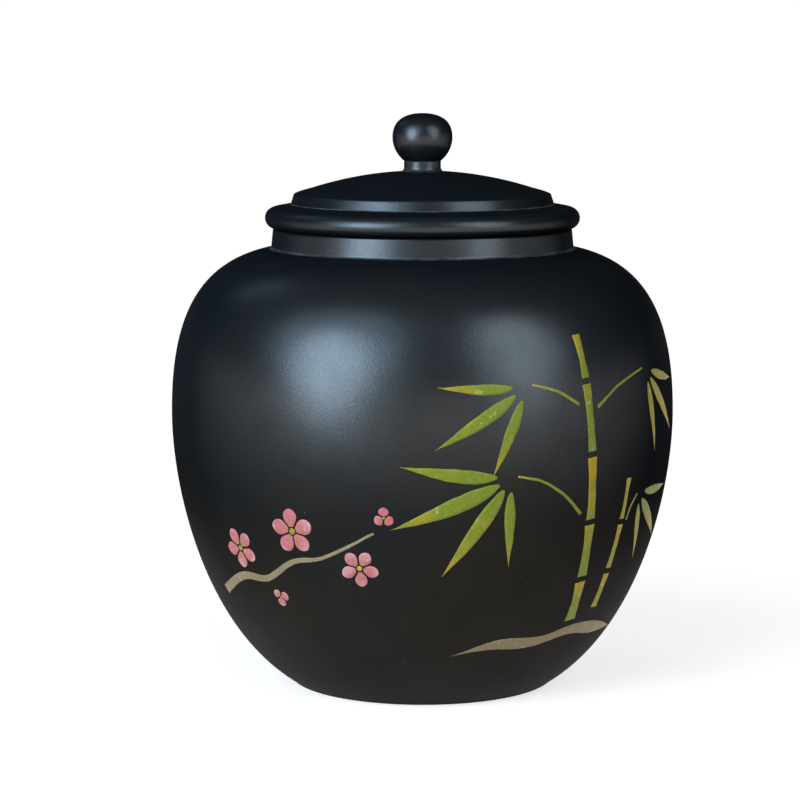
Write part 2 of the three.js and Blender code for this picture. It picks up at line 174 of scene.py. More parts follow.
# The picture, in millimetres to the right of the front and above the widest point.
# A leaf is its direction, its length, and how far its tip bends to the left of that direction.
LEAF_SLENDERNESS = 6.1
LEAF_STALK = 0.9
LEAF_START = 5
LEAF_SWELL = (0.2, 0.75, 0)  # shares of the length, width and bend that shape an edge near the stalk
LEAF_TAPER = (0.6, 0.45, 0.4)  # and near the tip
SPRAYS = {
    "centre": ((29, -10), ((-178, 31, -5), (-151, 37, -4), (-122, 34, -1), (-92, 25, 2))),
    "upper": ((34, 18.6), ((-172, 24, -4), (-142, 31, -3), (-110, 26, -1))),
    "right": ((89, 20.1), ((-20, 22, 3), (-50, 28, 3), (-80, 24, 1))),
    "low": ((86, -20), ((-10, 22, 3), (-42, 27, 3), (-74, 21, 1))),
}

# A culm is its foot, its lean in degrees, its width and the lengths between its joints
CULM_BREAK = 1.6
CULM_TAPER = 0.35
CULM_WAIST = 0.8
CULMS = {
    "tall": ((63.8, -61.9), 5, 5, (14, 18, 21, 22, 14)),
    "short": ((76, -58.9), -3, 3.6, (12, 15, 14)),
}

# A stroke is its width at either end and the points that it runs through
STROKE_LOOK = 0.01  # share of a stroke either side of a point that gives its direction there
STROKES = {
    "branchlet_centre": ((1.6, 1), ((55.6, -24.4), (49, -18), (40, -12.4), (31, -10.2))),
    "branchlet_upper": ((1.5, 1), ((53.4, 11.2), (45, 16), (36, 18.4))),
    "branchlet_right": ((1.5, 1), ((61.2, 9.8), (72, 16), (86.5, 20))),
    "branchlet_low": ((1.4, 1), ((80.6, -29.4), (82, -25), (85, -21))),
    "plum_twig": (
        (3.6, 1.1),
        ((-84.5, -54.9), (-71, -47.5), (-59, -46.6), (-47, -39.6), (-35, -37), (-18, -28)),
    ),
}

# A blossom is its middle, its radius, its number of petals and its turn in degrees
PETAL_NOTCH = 0.48
PETAL_FOOT = 0.2
PETAL_STRAIGHT = 0.3  # share of a petal's edge that runs beside its neighbour
PETAL_GAP = 0.3
EYE_SHARE = 0.16
ANTHER_SHARE = 0.065
ANTHER_REACH = 0.42
BLOSSOM_SEEDS = 10  # numbers kept for the strays of a blossom's petals
BLOSSOMS = {
    "blossom_left": ((-70.5, -37.6), 6.8, 5, 10),
    "blossom_top": ((-45, -29.2), 7.6, 5, -14),
    "blossom_right": ((-21.5, -40), 6.2, 5, 22),
    "bud_tip": ((-12.4, -22.8), 3.4, 3, 30),
    "bud_low": ((-55.6, -52.8), 3.2, 3, 80),
}

# The ground is its upper and its lower edge
GROUND_TOP = ((25, -71), (37.5, -65.6), (53, -66), (67, -63.4), (81, -65), (95, -70))
GROUND_FOOT = ((25, -71), (35, -69.4), (49, -70), (65, -67.4), (79, -69.4), (95, -70))

# Hollow corners as tight as the first radius get the full pale line, and corners as open as the second get
# none; the line is partly clay that the burnishing stone misses and partly a painted highlight
TIGHT_HOLLOW_RADIUS = 0.8
OPEN_HOLLOW_RADIUS = 2.5
SEAT_MARGIN = 0.1  # below the lid's seat, where its bare clay starts

# How finely the pieces are cut
ROUND_FACES = 256
KNOB_FACES = 96
FLOOR_FACES = 64
CURVE_STEPS = 48
ARC_STEPS = 10
CORNER_STEPS = 5
INLAY_ROWS = 28
INLAY_COLUMNS = 4
DOT_STEPS = 20
DOT_RINGS = 3
SMALLEST = 1e-6  # a length in millimetres that counts as nothing
SAME_PLACE = 1e-7  # a distance in metres at which points are joined

# Finishes. Colours are as they look, from 0 to 255, scales are in waves per metre, heights in metres
NOISE_SPAN = (0.3, 0.7)  # where most of a soft noise lies
COOL_CLAY = (23, 25, 28)
WARM_CLAY = (33, 27, 20)
WARM_HEIGHTS = (0.03, 0.12)  # where the clay goes from brown to black
WARM_SCALE = 16
WARM_STRAY = 0.4
# A pale line in hollow corners: partly bare clay that the stone missed, partly a painted highlight
UNRUBBED_AND_SHEEN_CLAY = (92, 95, 97)
UNRUBBED_AND_SHEEN_SCALE = 180
UNRUBBED_AND_SHEEN_SPAN = (0.35, 0.65)
UNRUBBED_AND_SHEEN_SHARES = (0.15, 0.7)
SPECK_CLAY = (80, 79, 76)
SPECK_SCALE = 190
SPECK_SIZE = 0.045  # as a share of the cells that the specks are strewn in
SPECK_RARITY = 0.92  # share of the cells without a speck
MARK_SCALE = 1500
MARK_STRETCH = (1, 1, 0.75)
MARK_DEPTH = 0.00003
MARK_ROUGHNESS = (-0.04, 0.04)
SMEAR_SCALE = 60
SMEAR_ROUGHNESS = (0.37, 0.42)

# The polish on the black clay, which fades towards the foot and the outline
POLISH_HEIGHTS = (0.062, 0.124)
POLISH = (0.14, 1)
LID_HEIGHTS = (0.14, 0.147)  # above these the clay is rubbed a little less
LID_POLISH = (1, 0.86)
SMEAR_POLISH = (0.88, 1.12)
MARK_POLISH = (0.9, 1.1)
RIM_HEIGHTS = (0.02, 0.075)  # where the outline stops shining
RIM_POLISH = (0.9, 0.02)
RIM_FACING = 0.65  # how far a surface has turned aside where the outline's polish is reached
POLISH_ROUGHNESS = 0.31
POLISH_IOR = 1.68

# Bare clay and silicone
BARE_CLAY = ((40, 39, 38), (52, 49, 46))
BARE_SCALE = 45
BARE_SPAN = (0.35, 0.65)
BARE_GLOSS = 0.3
GRIT_CLAY = (84, 79, 72)
GRIT_SCALE = 2200
GRIT_SPAN = (0.55, 0.75)
GRIT_SHARE = 0.5
GRIT_ROUGHNESS = (0.7, 0.9)
GRIT_DEPTH = 0.0001
GRIT_STRENGTH = 0.4
SILICONE = ((172, 169, 160), (196, 193, 185))
SILICONE_SCATTER = 0.1
SILICONE_REACH = (0.002, 0.002, 0.0018)
BLOOM_SCALE = 220
BLOOM_ROUGHNESS = (0.5, 0.66)

# Coloured clay at the root and the tip of a stroke, and where it is worn
CLAYS = {
    "green_clay": ((132, 139, 22), (204, 158, 10), (200, 190, 112)),
    "gold_clay": ((168, 147, 18), (222, 170, 16), (226, 206, 124)),
    "pink_clay": ((216, 109, 107), (240, 177, 166), (242, 203, 190)),
    "tan_clay": ((150, 122, 84), (170, 143, 101), (188, 164, 126)),
}
SHADE_SPAN = (0.35, 1.15)
MOTTLE_SCALE = 170
MOTTLE_STRAY = (-0.35, 0.35)
TONE_STRAY = (-0.3, 0.3)
WORN_SCALE = 380
WORN_SPAN = (0.63, 0.72)
WORN_SHARE = 0.8
SCUFF_SCALE = 1000
SCUFF_SPAN = (0.4, 0.75)
SCUFF_SHARE = 0.22
CUT_CLAY = (46, 34, 26)
CUT_SPAN = (0.35, 0.95)
GRAIN_SCALE = 1700
GRAIN_ROUGHNESS = (0.42, 0.54)
GRAIN_DEPTH = 0.00004
GRAIN_STRENGTH = 0.2
FILL_GLOSS = 0.35

# Camera, lamps, floor and world, in metres and degrees, with the lens in millimetres
CAMERA_PLACE = (0, -0.9449, 0.2213)
CAMERA_PITCH = 7.588
CAMERA_YAW = 0.458
CAMERA_LENS = 125.97
LAMP_AIM = Vector((0, 0, 0.1))
LAMP_DISTANCE = 1.4
SKY_BLUE = (0.6, 0.81, 1)
LAMPS = {  # azimuth, elevation, width and height, watts and colour
    "lamp_left": (-42.5, 16.6, (0.84, 1.16), 17, SKY_BLUE),
    "lamp_left_halo": (-44, 30, (1.6, 1.55), 9, (0.5, 0.77, 1)),
    "lamp_right": (47, 26, (0.88, 1.35), 9.5, (0.7, 0.87, 1)),
    "lamp_back": (-133, 38, (0.5, 0.5), 1.5, SKY_BLUE),
}
FLOOR_DROP = 0.0003
FLOOR_RADIUS = 3.4
FLOOR_RINGS = (0.2, 0.5, 0.99, 1)  # as shares of its radius
FLOOR_LIP = 0.5
FLOOR_FADE = (0.1, 0.28)  # from where the lamps light the floor to where it glows by itself
FLOOR_COLOUR = (0.97, 0.81, 0.72, 1)
FLOOR_FAR_COLOUR = (0.06, 0.05, 0.045, 1)
FLOOR_GLOW = (0.66, 1)  # near the jar and far from it
WORLD_COLOUR = (0.9, 0.95, 1, 1)
WORLD_STRENGTH = 0.1


def bezier(handles, share):
    """A point on a curve that four handles shape."""
    a, b, c, d = handles
    rest = 1 - share
    return a * rest**3 + b * (3 * rest**2 * share) + c * (3 * rest * share**2) + d * share**3


def spline(points, share):
    """A point on a smooth line through others."""
    spots = [Vector(p) for p in points]
    spots = [spots[0], *spots, spots[-1]]
    place = share * (len(points) - 1)
    i = min(int(place), len(points) - 2)
    t = place - i
    a, b, c, d = spots[i : i + 4]
    return b + ((c - a) * t + (a * 2 - b * 5 + c * 4 - d) * t**2 + (b * 3 - a - c * 3 + d) * t**3) / 2


def arc(centre, radius, start, end, steps=ARC_STEPS):
    """Points on a circle, from one angle to another."""
    angles = [math.radians(start + (end - start) * i / steps) for i in range(steps + 1)]
    return [(centre[0] + radius * math.cos(a), centre[1] + radius * math.sin(a)) for a in angles]


def rounding(start, corner, end, steps):
    """Points on a curve that leaves its start towards a corner and comes to its end from there."""
    points = []
    for i in range(steps + 1):
        t = i / steps
        points.append(start * (1 - t) ** 2 + corner * (2 * t * (1 - t)) + end * t**2)
    return points


def softened(corners, size):
    """A profile with each of its corners cut back to a small curve, and held straight beside it."""
    points = [Vector(corners[0])]
    for before, corner, after in zip(corners, corners[1:], corners[2:]):
        corner = Vector(corner)
        back = Vector(before) - corner
        on = Vector(after) - corner
        cut = min(size, back.length / 3, on.length / 3)
        start = corner + back.normalized() * cut
        end = corner + on.normalized() * cut
        points.append(corner + back.normalized() * cut * HELD_BESIDE)
        points += rounding(start, corner, end, CORNER_STEPS)
        points.append(corner + on.normalized() * cut * HELD_BESIDE)
    return [tuple(p) for p in [*points, Vector(corners[-1])]]


def belly_outline(distance):
    """The belly's wall from the foot up to the neck, moved outward by a distance."""
    foot = math.radians(FOOT_ANGLE)
    shoulder = math.radians(SHOULDER_ANGLE)
    start = Vector((FOOT_RADIUS, FOOT_EDGE))
    widest = Vector((BELLY_RADIUS, BELLY_HEIGHT))
    end = Vector((NECK_FOOT_RADIUS + NECK_FILLET, NECK_FOOT_Z))
    lower = (
        start,
        start + Vector((math.cos(foot), math.sin(foot))) * FOOT_FULLNESS,
        widest - Vector((0, LOWER_FULLNESS)),
        widest,
    )
    upper = (
        widest,
        widest + Vector((0, UPPER_FULLNESS)),
        end + Vector((math.cos(shoulder), -math.sin(shoulder))) * SHOULDER_FULLNESS,
        end,
    )
    points = [bezier(lower, i / CURVE_STEPS) for i in range(CURVE_STEPS)]
    points += [bezier(upper, i / CURVE_STEPS) for i in range(CURVE_STEPS + 1)]
    moved = []
    for i, point in enumerate(points):
        along = points[min(i + 1, len(points) - 1)] - points[max(i - 1, 0)]
        along.normalize()
        moved.append((point.x + along.y * distance, point.y - along.x * distance))
    return moved


WALL_OUTLINE = belly_outline(0)


def wall_radius(height):
    """The outer radius of the jar at a height."""
    if height >= NECK_FOOT_Z:
        return NECK_RADIUS
    for (low_radius, low), (high_radius, high) in zip(WALL_OUTLINE, WALL_OUTLINE[1:]):
        if low <= height <= high:
            return low_radius + (high_radius - low_radius) * (height - low) / (high - low)
    return FOOT_RADIUS


def jar_profile():
    """The jar from the middle of its foot up the outside, over the rim and down the inside."""
    ringed = []
    for radius, height in belly_outline(-WALL):
        if height > FLOOR_Z + FLOOR_CORNER and radius > NECK_BORE + RIM_ROUND:
            ring = THROWING_DEPTH * (1 + math.sin(2 * math.pi * height / THROWING_PITCH))
            ringed.append((radius + ring / 2, height))
    shoulder_z = ringed[-1][1]
    base = [
        (0, FOOT_RECESS),
        (FOOT_RADIUS - FOOT_RING_WIDTH - FOOT_RECESS, FOOT_RECESS),
        (FOOT_RADIUS - FOOT_RING_WIDTH, 0),
        (FOOT_RADIUS - FOOT_EDGE, 0),
        WALL_OUTLINE[0],
        WALL_OUTLINE[1],
    ]
    floor = [
        ringed[0],
        (FOOT_RADIUS + FLOOR_CORNER, FLOOR_Z + FLOOR_CORNER / 2),
        (FOOT_RADIUS - FLOOR_CORNER, FLOOR_Z),
        (0, FLOOR_Z),
    ]
    return [
        *softened(base, FOOT_SOFTNESS),
        *WALL_OUTLINE[2:],
        *arc((NECK_FOOT_RADIUS + NECK_FILLET, NECK_FOOT_Z + NECK_FILLET), NECK_FILLET, 270, 180)[1:],
        *arc((NECK_RADIUS - RIM_ROUND, RIM_Z - RIM_ROUND), RIM_ROUND, 0, 90),
        *arc((NECK_BORE + RIM_ROUND, RIM_Z - RIM_ROUND), RIM_ROUND, 90, 180),
        *arc((NECK_BORE + RIM_ROUND, shoulder_z + RIM_ROUND), RIM_ROUND, 180, 270),
        *reversed(ringed[1:]),
        *softened(floor, FLOOR_CORNER),
    ]


def slope_at(radius, round_radius):
    """The angle on a round of some radius at a distance from the axis, in degrees."""
    return math.degrees(math.acos(radius / round_radius))


def lid_profile():
    """The lid from the middle of its ceiling round the plug, bead and step to the knob's socket."""
    socket_radius = PEG_RADIUS + PEG_CLEARANCE
    ceiling_slope = slope_at(PLUG_BORE - CEILING_CORNER, CEILING_RADIUS)
    ceiling = arc((0, DOME_CENTRE_Z), CEILING_RADIUS, 90, ceiling_slope, CURVE_STEPS)
    plug_side = [
        ceiling[-1],
        (PLUG_BORE, ceiling[-1][1] - CEILING_CORNER),
        (PLUG_BORE, PLUG_FOOT_Z),
        (PLUG_RADIUS - PLUG_LEAD, PLUG_FOOT_Z),
        (PLUG_RADIUS, PLUG_FOOT_Z + PLUG_LEAD),
        (PLUG_RADIUS, GROOVE_FOOT_Z),
        (GROOVE_RADIUS, GROOVE_FOOT_Z),
        (GROOVE_RADIUS, GROOVE_TOP_Z),
        (PLUG_RADIUS, GROOVE_TOP_Z),
        (PLUG_RADIUS, RIM_Z),
        (BEAD_CENTRE_RADIUS, RIM_Z),
    ]
    ledge = [(BEAD_CENTRE_RADIUS, BEAD_TOP_Z), tuple(STEP_FOOT), tuple(STEP_CORNER)]
    dome_slopes = [slope_at(r, DOME_RADIUS) for r in (DOME_EDGE.x - DOME_INSET, COLLAR_FOOT_RADIUS)]
    dome = arc((0, DOME_CENTRE_Z), DOME_RADIUS, *dome_slopes, CURVE_STEPS)
    step_held = STEP_FOOT.lerp(STEP_CORNER, STEP_HELD)
    step_start = STEP_FOOT.lerp(STEP_CORNER, STEP_ROUND_START)
    step_round = rounding(step_start, STEP_CORNER, Vector(dome[0]), ARC_STEPS)
    socket = [dome[-1], (socket_radius, KNOB_SEAT_Z), (socket_radius, SOCKET_Z), (0, SOCKET_Z)]
    return [
        *ceiling[:-1],
        *softened(plug_side, PLUG_SOFTNESS),
        *arc((BEAD_CENTRE_RADIUS, RIM_Z + BEAD_ROUND), BEAD_ROUND, -90, 90, CURVE_STEPS)[1:],
        *softened(ledge, LEDGE_SOFTNESS)[1:-1],
        *(tuple(point) for point in (step_held, *step_round)),
        *dome[1:-1],
        *softened(socket, PEG_SOFTNESS),
    ]


def knob_profile():
    """The knob from the foot of its peg up the collar and the ball."""
    crown = (
        Vector((KNOB_RADIUS, KNOB_CENTRE_Z)),
        Vector((KNOB_RADIUS, KNOB_CENTRE_Z + KNOB_UPRIGHT)),
        Vector((KNOB_LEVEL, KNOB_TOP_Z)),
        Vector((0, KNOB_TOP_Z)),
    )
    centre = (0, KNOB_CENTRE_Z)
    under = -slope_at(COLLAR_RADIUS, KNOB_RADIUS)
    crease_z = KNOB_CENTRE_Z + KNOB_RADIUS * math.sin(math.radians(under))
    peg = [
        (0, PEG_FOOT_Z),
        (PEG_RADIUS, PEG_FOOT_Z),
        (PEG_RADIUS, KNOB_SEAT_Z),
        (COLLAR_FOOT_RADIUS, KNOB_SEAT_Z),
    ]
    return [
        *softened(peg, PEG_SOFTNESS),
        *arc((COLLAR_FOOT_RADIUS, KNOB_SEAT_Z + COLLAR_FLARE), COLLAR_FLARE, 270, 180)[1:],
        (COLLAR_RADIUS, crease_z - CREASE_HELD),
        *arc(centre, KNOB_RADIUS, under, under + CREASE_ANGLE, CREASE_STEPS),
        *arc(centre, KNOB_RADIUS, under + CREASE_ANGLE, 0, CURVE_STEPS)[1:],
        *(tuple(bezier(crown, i / CURVE_STEPS)) for i in range(1, CURVE_STEPS + 1)),
    ]


def seal_profile():
    """A ring that fills the groove, with rounded lips that reach for the neck."""
    radius = GROOVE_RADIUS + (GROOVE_TOP_Z - SEAL_TOP_Z)
    pitch = (SEAL_TOP_Z - SEAL_FOOT_Z) / SEAL_LIPS
    back = (radius, (SEAL_FOOT_Z + SEAL_TOP_Z) / 2)
    corners = [back, (radius, SEAL_FOOT_Z), (PLUG_RADIUS, SEAL_FOOT_Z)]
    for i in range(SEAL_LIPS):
        middle = SEAL_FOOT_Z + (i + 0.5) * pitch
        corners += [(SEAL_RADIUS, middle - LIP_ROUND), (SEAL_RADIUS, middle + LIP_ROUND)]
        corners.append((PLUG_RADIUS, SEAL_FOOT_Z + (i + 1) * pitch))
    corners += [(radius, SEAL_TOP_Z), back]
    return softened(corners, SEAL_SOFTNESS)


def finished(shape, name, materials):
    """A smooth object from a shape made in metres."""
    bmesh.ops.remove_doubles(shape, verts=shape.verts, dist=SAME_PLACE)
    bmesh.ops.recalc_face_normals(shape, faces=shape.faces)
    for face in shape.faces:
        face.smooth = True
    mesh = bpy.data.meshes.new(name)
    shape.to_mesh(mesh)
    shape.free()
    for material in materials:
        mesh.materials.append(material)
    piece = bpy.data.objects.new(name, mesh)
    bpy.context.collection.objects.link(piece)
    return piece


def unrubbed_and_sheen_share(before, point, after):
    """How much of the pale hollow line a point of a profile gets, from 0 to 1, by how sharply it turns
    inward; the line is partly clay the stone misses and partly a painted highlight.
    """
    back = Vector(point) - Vector(before)
    on = Vector(after) - Vector(point)
    curve = 2 * back.angle_signed(on, 0) / max(back.length + on.length, SMALLEST)
    return min(max((curve - 1 / OPEN_HOLLOW_RADIUS) / (1 / TIGHT_HOLLOW_RADIUS - 1 / OPEN_HOLLOW_RADIUS), 0), 1)


def lathe(name, profile, faces, materials, finish_of=lambda radius, height: 0):
    """A round piece from a profile of radius and height in millimetres."""
    shape = bmesh.new()
    # Share of the pale hollow line at each point: partly unburnished clay, partly a painted highlight
    unrubbed_and_sheen = shape.verts.layers.float.new("unrubbed_and_sheen")
    rings = []
    turns = [2 * math.pi * i / faces for i in range(faces)]
    neighbours = zip([profile[0], *profile], [*profile[1:], profile[-1]])
    for (radius, height), (before, after) in zip(profile, neighbours):
        if radius < SMALLEST:
            rings.append([shape.verts.new((0, 0, height * MM))] * faces)
            continue
        spots = [(radius * math.cos(t) * MM, radius * math.sin(t) * MM, height * MM) for t in turns]
        rings.append([shape.verts.new(spot) for spot in spots])
        share = unrubbed_and_sheen_share(before, (radius, height), after)
        for vert in rings[-1]:
            vert[unrubbed_and_sheen] = share
    for k in range(len(rings) - 1):
        low, high = rings[k], rings[k + 1]
        middle = (Vector(profile[k]) + Vector(profile[k + 1])) / 2
        finish = finish_of(*middle)
        for i in range(faces):
            j = (i + 1) % faces
            corners = list(dict.fromkeys((low[i], low[j], high[j], high[i])))
            if len(corners) > 2:
                shape.faces.new(corners).material_index = finish
    return finished(shape, name, materials)


def on_wall(spot, middle, lift):
    """A point of the picture on the jar's wall, lifted off it, in metres."""
    around = middle / BELLY_RADIUS
    across = spot.x - middle
    height = BELLY_HEIGHT + spot.y
    out = math.sqrt((wall_radius(height) + lift) ** 2 - across**2)
    x = across * math.cos(around) + out * math.sin(around)
    y = across * math.sin(around) - out * math.cos(around)
    return Vector((x, y, height)) * MM


def strayed(spot, seed):
    """A point on an edge moved as a knife strays."""
    stray = noise.noise_vector(Vector((spot.x * CUT_SCALE, spot.y * CUT_SCALE, seed)))
    return spot + Vector((stray.x, stray.y)) * CUT_WOBBLE


def inlay(name, pads, materials, tone):
    """Thin pads of clay on the wall, made of rows of points.

    A point comes with its share along the pad and whether it lies inside the pad's edge. A pad also says
    how far it stands proud, whether its rows are closed rings, and which of the materials it has.
    """
    spots = [spot for rows, *_ in pads for row in rows for spot, _, _ in row]
    middle = (min(s.x for s in spots) + max(s.x for s in spots)) / 2
    shape = bmesh.new()
    laid = shape.verts.layers.float_color.new("laid")
    for rows, proud, closed, finish in pads:
        top = []
        foot = []
        for row in rows:
            top.append([])
            foot.append([])
            for spot, along, inside in row:
                upper = shape.verts.new(on_wall(spot, middle, proud if inside else -INLAY_SUNK))
                lower = shape.verts.new(on_wall(spot, middle, -INLAY_DEPTH)) if inside else upper
                upper[laid] = lower[laid] = (along, inside, tone, 1)
                top[-1].append(upper)
                foot[-1].append(lower)
        for sheet in (top, foot):
            for one, two in zip(sheet, sheet[1:]):
                for i in range(len(one) if closed else len(one) - 1):
                    j = (i + 1) % len(one)
                    shape.faces.new((one[i], one[j], two[j], two[i])).material_index = finish
    return finished(shape, name, materials)


def bevelled(bevel, steps):
    """Shares from 0 to 1, with a bevel at either end and even steps between."""
    return [0, *(bevel + (1 - 2 * bevel) * i / steps for i in range(steps + 1)), 1]


def strip_rows(right, left, seed):
    """Rows of points between two edges, with a bevel kept along the rim."""
    length = (right(1) - right(0)).length
    rows = []
    for along in bevelled(INLAY_BEVEL / length, INLAY_ROWS):
        start = strayed(right(along), seed)
        end = strayed(left(along), seed)
        width = max((end - start).length, SMALLEST)
        row = []
        for share in bevelled(min(INLAY_BEVEL / width, BEVEL_LIMIT), INLAY_COLUMNS):
            inside = 0 < share < 1 and 0 < along < 1
            row.append((start.lerp(end, share), along, float(inside)))
        rows.append(row)
    return rows


def turned(point, degrees, spot):
    """A point turned about the sheet's own middle and then moved."""
    angle = math.radians(degrees)
    x = point.x * math.cos(angle) - point.y * math.sin(angle)
    y = point.x * math.sin(angle) + point.y * math.cos(angle)
    return Vector((x + spot[0], y + spot[1]))


def leaf_edge(side, length, bend, turn, spot):
    """One edge of a leaf, as a curve from its stalk to its tip."""
    width = length / LEAF_SLENDERNESS
    handles = [Vector((LEAF_START, side * LEAF_STALK / 2))]
    for along, aside, share in (LEAF_SWELL, LEAF_TAPER):
        handles.append(Vector((LEAF_START + along * length, side * aside * width + share * bend)))
    handles.append(Vector((LEAF_START + length, bend)))
    handles = [turned(handle, turn, spot) for handle in handles]
    return lambda share: bezier(handles, share)


def culm_edge(side, start, length, width, lean, foot):
    """One side of a culm's length, waisted between its joints."""

    def edge(share):
        waist = width / 2 - (1 - CULM_WAIST) * width * 2 * share * (1 - share)
        return turned(Vector((start + share * length, side * waist)), 90 + lean, foot)

    return edge


def stroke_edge(side, widths, through):
    """One side of a brush line."""

    def edge(share):
        ahead = spline(through, min(share + STROKE_LOOK, 1))
        along = ahead - spline(through, max(share - STROKE_LOOK, 0))
        along.normalize()
        half = (widths[0] + (widths[1] - widths[0]) * share) / 2
        return spline(through, share) + Vector((-along.y, along.x)) * side * half

    return edge


def petal_edge(side, radius, petals, turn, spot):
    """One edge of a petal, out beside its neighbour and then round to its tip."""
    half = math.pi / petals

    def edge(share):
        swing = min((1 - share) / (1 - PETAL_STRAIGHT), 1)
        reach = radius * (PETAL_NOTCH + (1 - PETAL_NOTCH) * math.sqrt(math.cos(math.pi / 2 * swing)))
        if share < PETAL_STRAIGHT:
            reach = radius * (PETAL_FOOT + (PETAL_NOTCH - PETAL_FOOT) * share / PETAL_STRAIGHT)
        angle = side * max(half * swing - PETAL_GAP / 2 / reach, 0)
        return turned(Vector((math.cos(angle), math.sin(angle))) * reach, turn, spot)

    return edge


def dot_rows(spot, radius):
    """Rings of points from the middle of a round spot of clay out to its edge."""
    angles = [360 * i / DOT_STEPS for i in range(DOT_STEPS)]
    rows = []
    for share in [*(DOT_TOP * i / DOT_RINGS for i in range(DOT_RINGS + 1)), 1]:
        row = [turned(Vector((radius * share, 0)), angle, spot) for angle in angles]
        rows.append([(point, share, float(share < 1)) for point in row])
    return rows


def blossom_pads(at, radius, petals, turn, seed):
    """The petals of a blossom, its eye, and an anther on each petal."""
    pads = [(dot_rows(at, radius * EYE_SHARE), BLOSSOM_PROUD, True, 1)]
    for k in range(petals):
        facing = turn + 360 * (k + 0.5) / petals
        edges = [petal_edge(side, radius, petals, facing, at) for side in (-1, 1)]
        pads.append((strip_rows(*edges, seed + k), BLOSSOM_PROUD, False, 0))
        spot = turned(Vector((radius * ANTHER_REACH, 0)), facing, at)
        pads.append((dot_rows(spot, radius * ANTHER_SHARE), BLOSSOM_PROUD + ANTHER_PROUD, True, 1))
    return pads


def picture_pads():
    """Every piece of the picture: its name and its pads of clay, with a seed for each cut edge."""
    seed = 0
    for name, blossom in BLOSSOMS.items():
        seed += BLOSSOM_SEEDS
        yield name, blossom_pads(*blossom, seed)
    for spray, (at, leaves) in SPRAYS.items():
        for i, (turn, length, bend) in enumerate(leaves):
            seed += 1
            edges = [leaf_edge(side, length, bend, turn, at) for side in (-1, 1)]
            yield f"leaf_{spray}_{i + 1}", [(strip_rows(*edges, seed), LEAF_PROUD, False, 0)]
    for culm, (foot, lean, width, lengths) in CULMS.items():
        start = 0
        for i, length in enumerate(lengths):
            seed += 1
            edges = [culm_edge(side, start, length, width - i * CULM_TAPER, lean, foot) for side in (-1, 1)]
            yield f"culm_{culm}_{i + 1}", [(strip_rows(*edges, seed), CULM_PROUD, False, 0)]
            start += length + CULM_BREAK
    for name, (widths, through) in STROKES.items():
        seed += 1
        edges = [stroke_edge(side, widths, through) for side in (-1, 1)]
        yield name, [(strip_rows(*edges, seed), STROKE_PROUD, False, 0)]
    edges = [lambda share, line=line: spline(line, share) for line in (GROUND_FOOT, GROUND_TOP)]
    yield "ground_line", [(strip_rows(*edges, seed + 1), GROUND_PROUD, False, 0)]


def shader(name):
    """A new material with its node tree and its surface node."""
    material = bpy.data.materials.new(name)
    material.use_nodes = True
    return material, material.node_tree, material.node_tree.nodes["Principled BSDF"]


def plug(tree, socket, value):
    """Sets a shader input to a number or a colour, or links it to another node's output."""
    if isinstance(value, bpy.types.NodeSocket):
        tree.links.new(value, socket)
    else:
        socket.default_value = value


def add(tree, kind, inputs, **settings):
    """A shader node with its settings and inputs."""
    made = tree.nodes.new("ShaderNode" + kind)
    for key, value in settings.items():
        setattr(made, key, value)
    for key, value in inputs.items():
        plug(tree, made.inputs[key], value)
    return made


def cloud(tree, vector, scale, detail=3):
    """Soft noise from 0 to 1."""
    return add(tree, "TexNoise", {"Vector": vector, "Scale": scale, "Detail": detail}).outputs["Fac"]


def ranged(tree, value, low, high, start, end, **settings):
    """A value between low and high moved to between start and end."""
    inputs = {"Value": value, "From Min": low, "From Max": high, "To Min": start, "To Max": end}
    return add(tree, "MapRange", inputs, **settings).outputs["Result"]


def eased(tree, value, low, high, start, end):
    """As ranged, but with a gentle start and end."""
    return ranged(tree, value, low, high, start, end, interpolation_type="SMOOTHSTEP")


def maths(tree, operation, one, two):
    """Two values added, multiplied or compared."""
    made = add(tree, "Math", {}, operation=operation)
    plug(tree, made.inputs[0], one)
    plug(tree, made.inputs[1], two)
    return made.outputs[0]


def mixed(tree, factor, one, two):
    """One colour fading into another."""
    made = add(tree, "Mix", {}, data_type="RGBA")
    plug(tree, made.inputs["Factor"], factor)
    # The node's colours are its inputs 6 and 7 and its output 2
    plug(tree, made.inputs[6], one)
    plug(tree, made.inputs[7], two)
    return made.outputs[2]


def dented(tree, height, strength, depth):
    """The direction of a surface with small dents in it."""
    inputs = {"Height": height, "Strength": strength, "Distance": depth}
    return add(tree, "Bump", inputs).outputs["Normal"]


def srgb(red, green, blue):
    """A colour given as it looks, from 0 to 255, in the linear light that shaders use."""
    shares = (red / 255, green / 255, blue / 255)
    return (*(s / 12.92 if s <= 0.04045 else ((s + 0.055) / 1.055) ** 2.4 for s in shares), 1)


